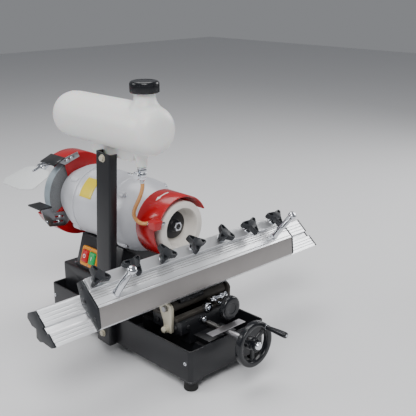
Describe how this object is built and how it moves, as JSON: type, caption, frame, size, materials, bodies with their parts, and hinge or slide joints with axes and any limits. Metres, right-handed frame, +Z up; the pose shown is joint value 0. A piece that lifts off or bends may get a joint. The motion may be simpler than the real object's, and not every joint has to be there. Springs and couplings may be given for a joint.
{
  "type": "wet grinding sharpener for planer blades",
  "caption": "Bench wet grinder for long straight blades: red-guarded cup wheel on a motor, coolant tank on a post, and an aluminium rail with a sliding clamp carriage.",
  "frame": {"origin": "on the surface it stands on, under the middle of its footprint", "axes": "+X along the blade rail to the operator's right, +Y from the operator towards the motor, along the grinding spindle, +Z up"},
  "size_m": [0.746, 0.713, 0.61],
  "materials": {
    "black_paint": "satin black powder coat",
    "black_plastic": "moulded black plastic, lightly textured",
    "rubber": "matt black rubber",
    "grey_paint": "light grey paint on aluminium castings, slightly glossy",
    "red_paint": "glossy red paint on sheet steel",
    "steel": "turned and ground steel",
    "chrome": "polished chrome plate",
    "aluminium": "extruded aluminium, fine drawn lines",
    "zinc_cast": "pale zinc-plated casting",
    "lamination": "varnished laminations and windings",
    "abrasive_white": "vitrified white alumina, grainy",
    "abrasive_grey": "grey abrasive disc, grainy",
    "tank_plastic": "milky blow-moulded polyethylene",
    "amber_hose": "translucent amber hose",
    "clear_sheet": "hazy clear polycarbonate",
    "switch_amber": "orange switch frame",
    "button_red": "red push button",
    "button_green": "green push button"
  },
  "bodies": {
    "root": {"base_tray": "black_paint", "foot_front_left": "rubber", "foot_front_right": "rubber", "foot_rear_left": "rubber", "foot_rear_right": "rubber", "plinth": "black_paint", "pedestal": "black_paint", "cable_gland": "black_plastic", "switch_plate": "switch_amber", "motor_housing": "grey_paint", "front_bell": "grey_paint", "rear_bell": "grey_paint", "stator": "lamination", "front_bearing": "steel", "rear_bearing": "steel", "cup_guard": "red_paint", "rear_guard": "red_paint", "tank": "tank_plastic", "valve_body": "chrome", "coolant_hose": "amber_hose", "coolant_nozzle": "red_paint", "post": "black_paint", "slide_way": "black_paint"},
    "spindle": {"rotor_shaft": "steel", "cup_wheel": "abrasive_white", "cup_flange": "black_paint", "spindle_nut": "chrome", "rear_wheel": "abrasive_grey", "rear_wheel_nut": "steel"},
    "saddle": {"saddle": "black_paint", "tilt_bracket": "zinc_cast", "tilt_pin": "steel"},
    "feed_screw": {"handwheel": "black_plastic", "lead_screw": "steel"},
    "grip": {"handwheel_grip": "black_plastic"},
    "lock_knob": {"tilt_lock_knob": "black_plastic"},
    "rail": {"tilt_table": "black_paint", "rail": "aluminium", "rail_end_left": "black_plastic", "rail_end_right": "black_plastic"},
    "carriage": {"carriage": "aluminium", "carriage_end_left": "black_plastic", "carriage_end_right": "black_plastic", "clamp_bar": "aluminium", "push_pin_left": "chrome", "push_pin_right": "chrome"},
    "clamp_knob_1": {"clamp_knob_1": "black_plastic"},
    "clamp_knob_2": {"clamp_knob_2": "black_plastic"},
    "clamp_knob_3": {"clamp_knob_3": "black_plastic"},
    "clamp_knob_4": {"clamp_knob_4": "black_plastic"},
    "clamp_knob_5": {"clamp_knob_5": "black_plastic"},
    "clamp_knob_6": {"clamp_knob_6": "black_plastic"},
    "clamp_knob_7": {"clamp_knob_7": "black_plastic"},
    "stop_button": {"stop_button": "button_red"},
    "start_button": {"start_button": "button_green"},
    "valve_lever": {"valve_lever": "chrome"},
    "tank_cap": {"tank_cap": "black_plastic"},
    "tool_rest": {"tool_rest": "black_paint"},
    "spark_deflector": {"spark_deflector": "steel"},
    "eye_shield": {"eye_shield": "clear_sheet"}
  },
  "joints": [
    {"name": "spindle_spin", "type": "hinge", "parent": "root", "child": "spindle", "pos_m": [-0.009, -0.0275, 0.29], "axis": [0, 1, 0], "continuous": true},
    {"name": "infeed", "type": "slide", "parent": "root", "child": "saddle", "axis": [0, 1, 0], "range_m": [-0.04, 0.002]},
    {"name": "handwheel_turn", "type": "hinge", "parent": "root", "child": "feed_screw", "pos_m": [-0.009, -0.2965, 0.097], "axis": [0, 1, 0], "range_deg": [-3601, 181]},
    {"name": "grip_spin", "type": "hinge", "parent": "feed_screw", "child": "grip", "pos_m": [0.02034, -0.3275, 0.12635], "axis": [0, 1, 0], "continuous": true},
    {"name": "rail_tilt", "type": "hinge", "parent": "saddle", "child": "rail", "pos_m": [0, -0.1295, 0.146], "axis": [1, 0, 0], "range_deg": [0, 25]},
    {"name": "lock_knob_turn", "type": "hinge", "parent": "saddle", "child": "lock_knob", "pos_m": [0.019, -0.1485, 0.135], "axis": [0, 1, 0], "range_deg": [-90, 90]},
    {"name": "carriage_slide", "type": "slide", "parent": "rail", "child": "carriage", "axis": [1, 0, 0], "range_m": [-0.25, 0.25]},
    {"name": "clamp_knob_1_turn", "type": "hinge", "parent": "carriage", "child": "clamp_knob_1", "pos_m": [-0.257, -0.12118, 0.25416], "axis": [0, -0.6428, 0.766], "range_deg": [-360, 360]},
    {"name": "clamp_knob_2_turn", "type": "hinge", "parent": "carriage", "child": "clamp_knob_2", "pos_m": [-0.174, -0.12118, 0.25416], "axis": [0, -0.6428, 0.766], "range_deg": [-360, 360]},
    {"name": "clamp_knob_3_turn", "type": "hinge", "parent": "carriage", "child": "clamp_knob_3", "pos_m": [-0.091, -0.12118, 0.25416], "axis": [0, -0.6428, 0.766], "range_deg": [-360, 360]},
    {"name": "clamp_knob_4_turn", "type": "hinge", "parent": "carriage", "child": "clamp_knob_4", "pos_m": [-0.008, -0.12118, 0.25416], "axis": [0, -0.6428, 0.766], "range_deg": [-360, 360]},
    {"name": "clamp_knob_5_turn", "type": "hinge", "parent": "carriage", "child": "clamp_knob_5", "pos_m": [0.075, -0.12118, 0.25416], "axis": [0, -0.6428, 0.766], "range_deg": [-360, 360]},
    {"name": "clamp_knob_6_turn", "type": "hinge", "parent": "carriage", "child": "clamp_knob_6", "pos_m": [0.158, -0.12118, 0.25416], "axis": [0, -0.6428, 0.766], "range_deg": [-360, 360]},
    {"name": "clamp_knob_7_turn", "type": "hinge", "parent": "carriage", "child": "clamp_knob_7", "pos_m": [0.241, -0.12118, 0.25416], "axis": [0, -0.6428, 0.766], "range_deg": [-360, 360]},
    {"name": "stop_press", "type": "slide", "parent": "root", "child": "stop_button", "axis": [0.9547, 0, -0.2976], "range_m": [0, 0.0022], "stiffness_N_per_m": 400},
    {"name": "start_press", "type": "slide", "parent": "root", "child": "start_button", "axis": [0.9547, 0, -0.2976], "range_m": [0, 0.0022], "stiffness_N_per_m": 400},
    {"name": "valve_turn", "type": "hinge", "parent": "root", "child": "valve_lever", "pos_m": [-0.1245, -0.0865, 0.4245], "axis": [-1, 0, 0], "range_deg": [0, 90]},
    {"name": "cap_turn", "type": "hinge", "parent": "root", "child": "tank_cap", "pos_m": [-0.1105, -0.1015, 0.6], "axis": [0, 0, 1], "range_deg": [0, 720]},
    {"name": "rest_adjust", "type": "slide", "parent": "root", "child": "tool_rest", "axis": [1, 0, 0], "range_m": [-0.01, 0.001]},
    {"name": "deflector_adjust", "type": "slide", "parent": "root", "child": "spark_deflector", "axis": [-0.9312, 0, -0.3644], "range_m": [-0.005, 0.005]},
    {"name": "shield_tilt", "type": "hinge", "parent": "spark_deflector", "child": "eye_shield", "pos_m": [-0.101, 0.3005, 0.368], "axis": [0, 1, 0], "range_deg": [-20, 40]}
  ],
  "couplings": [
    {"joint": "handwheel_turn", "follows": "infeed", "rad_per_m": 1570.8}
  ]
}
